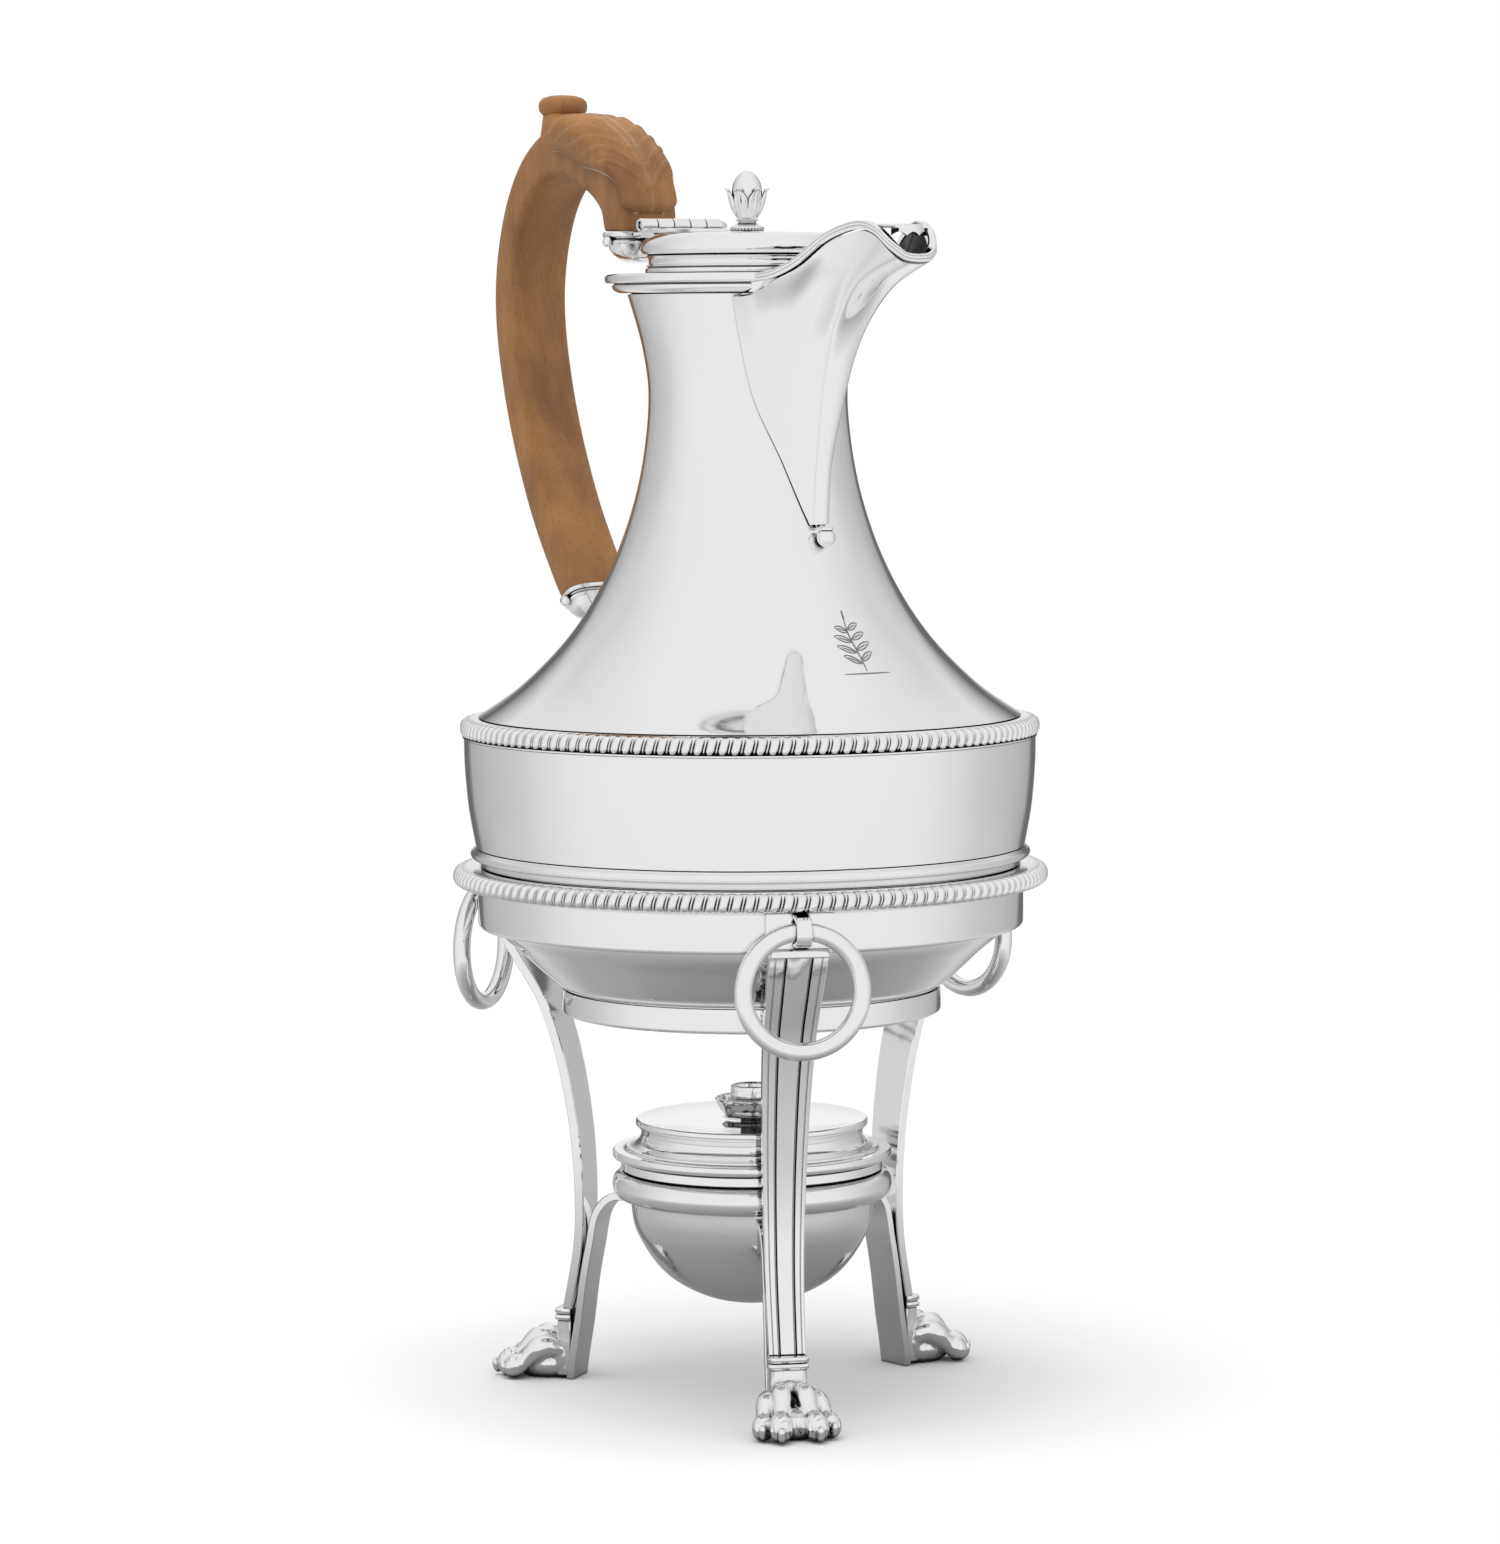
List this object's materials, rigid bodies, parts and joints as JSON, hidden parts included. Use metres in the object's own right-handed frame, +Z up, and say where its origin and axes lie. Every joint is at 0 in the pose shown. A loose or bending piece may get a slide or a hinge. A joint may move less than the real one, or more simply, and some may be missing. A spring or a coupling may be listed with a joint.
{
  "type": "coffee jug on lampstand",
  "caption": "Polished silver coffee jug with a curved wooden handle and hinged lid, standing in a paw-footed tripod stand with drop rings and a spirit lamp.",
  "frame": {"origin": "centre of the whole object's footprint box, on the surface that it stands on", "axes": "+Z up, +X from the handle towards the spout, +Y to the left of the spout"},
  "size_m": [0.1786, 0.1482, 0.3223],
  "materials": {
    "polished_silver": "polished",
    "cast_silver": "gloss",
    "boxwood": "satin",
    "cotton_wick": "matte"
  },
  "bodies": {
    "stand": {"stand_collar": "polished_silver", "stand_gadroon": "polished_silver", "lamp_ring": "polished_silver", "leg_1": "polished_silver", "leg_cap_1": "polished_silver", "paw_1": "cast_silver", "ring_lug_1": "polished_silver", "lamp_bracket_1": "polished_silver", "leg_2": "polished_silver", "leg_cap_2": "polished_silver", "paw_2": "cast_silver", "ring_lug_2": "polished_silver", "lamp_bracket_2": "polished_silver", "leg_3": "polished_silver", "leg_cap_3": "polished_silver", "paw_3": "cast_silver", "ring_lug_3": "polished_silver", "lamp_bracket_3": "polished_silver"},
    "jug": {"jug_neck": "polished_silver", "jug_drum": "polished_silver", "shoulder_gadroon": "polished_silver", "drum_moulding": "polished_silver", "foot_rim": "polished_silver", "rim_flange": "polished_silver", "spout": "polished_silver", "spout_lip": "polished_silver", "spout_hood": "polished_silver", "spout_drop": "polished_silver", "upper_socket": "cast_silver", "lower_socket": "cast_silver", "handle": "boxwood", "handle_pin_upper": "polished_silver", "handle_pin_lower": "polished_silver", "hinge_body_leaf": "polished_silver", "hinge_pin": "polished_silver"},
    "lid": {"lid": "polished_silver", "hinge_lid_leaf": "polished_silver", "finial_base": "polished_silver", "finial_calyx": "cast_silver", "finial_bud": "polished_silver", "finial_nut": "polished_silver"},
    "drop_ring_1": {"drop_ring_1": "polished_silver"},
    "drop_ring_2": {"drop_ring_2": "polished_silver"},
    "drop_ring_3": {"drop_ring_3": "polished_silver"},
    "lamp": {"lamp_bowl": "polished_silver"},
    "burner": {"lamp_cover": "polished_silver", "burner_dish": "polished_silver", "wick_tube": "polished_silver", "wick": "cotton_wick"}
  },
  "joints": [
    {"name": "jug_lift", "type": "slide", "parent": "stand", "child": "jug", "axis": [0, 0, 1], "range_m": [0, 0.05]},
    {"name": "lid_hinge", "type": "hinge", "parent": "jug", "child": "lid", "pos_m": [-0.01389, -0.00091, 0.288], "axis": [0, -1, 0], "range_deg": [0, 95]},
    {"name": "drop_ring_1_swing", "type": "hinge", "parent": "stand", "child": "drop_ring_1", "pos_m": [0.08128, -0.03033, 0.1223], "axis": [-0.4115, -0.9114, 0], "range_deg": [0, 80]},
    {"name": "drop_ring_2_swing", "type": "hinge", "parent": "stand", "child": "drop_ring_2", "pos_m": [0.00901, 0.07024, 0.1223], "axis": [0.9951, 0.0993, 0], "range_deg": [0, 80]},
    {"name": "drop_ring_3_swing", "type": "hinge", "parent": "stand", "child": "drop_ring_3", "pos_m": [-0.04195, -0.04263, 0.1223], "axis": [-0.5835, 0.8121, 0], "range_deg": [0, 80]},
    {"name": "lamp_lift", "type": "slide", "parent": "stand", "child": "lamp", "axis": [0, 0, 1], "range_m": [0, 0.01]},
    {"name": "burner_lift", "type": "slide", "parent": "lamp", "child": "burner", "axis": [0, 0, 1], "range_m": [0, 0.006]}
  ]
}
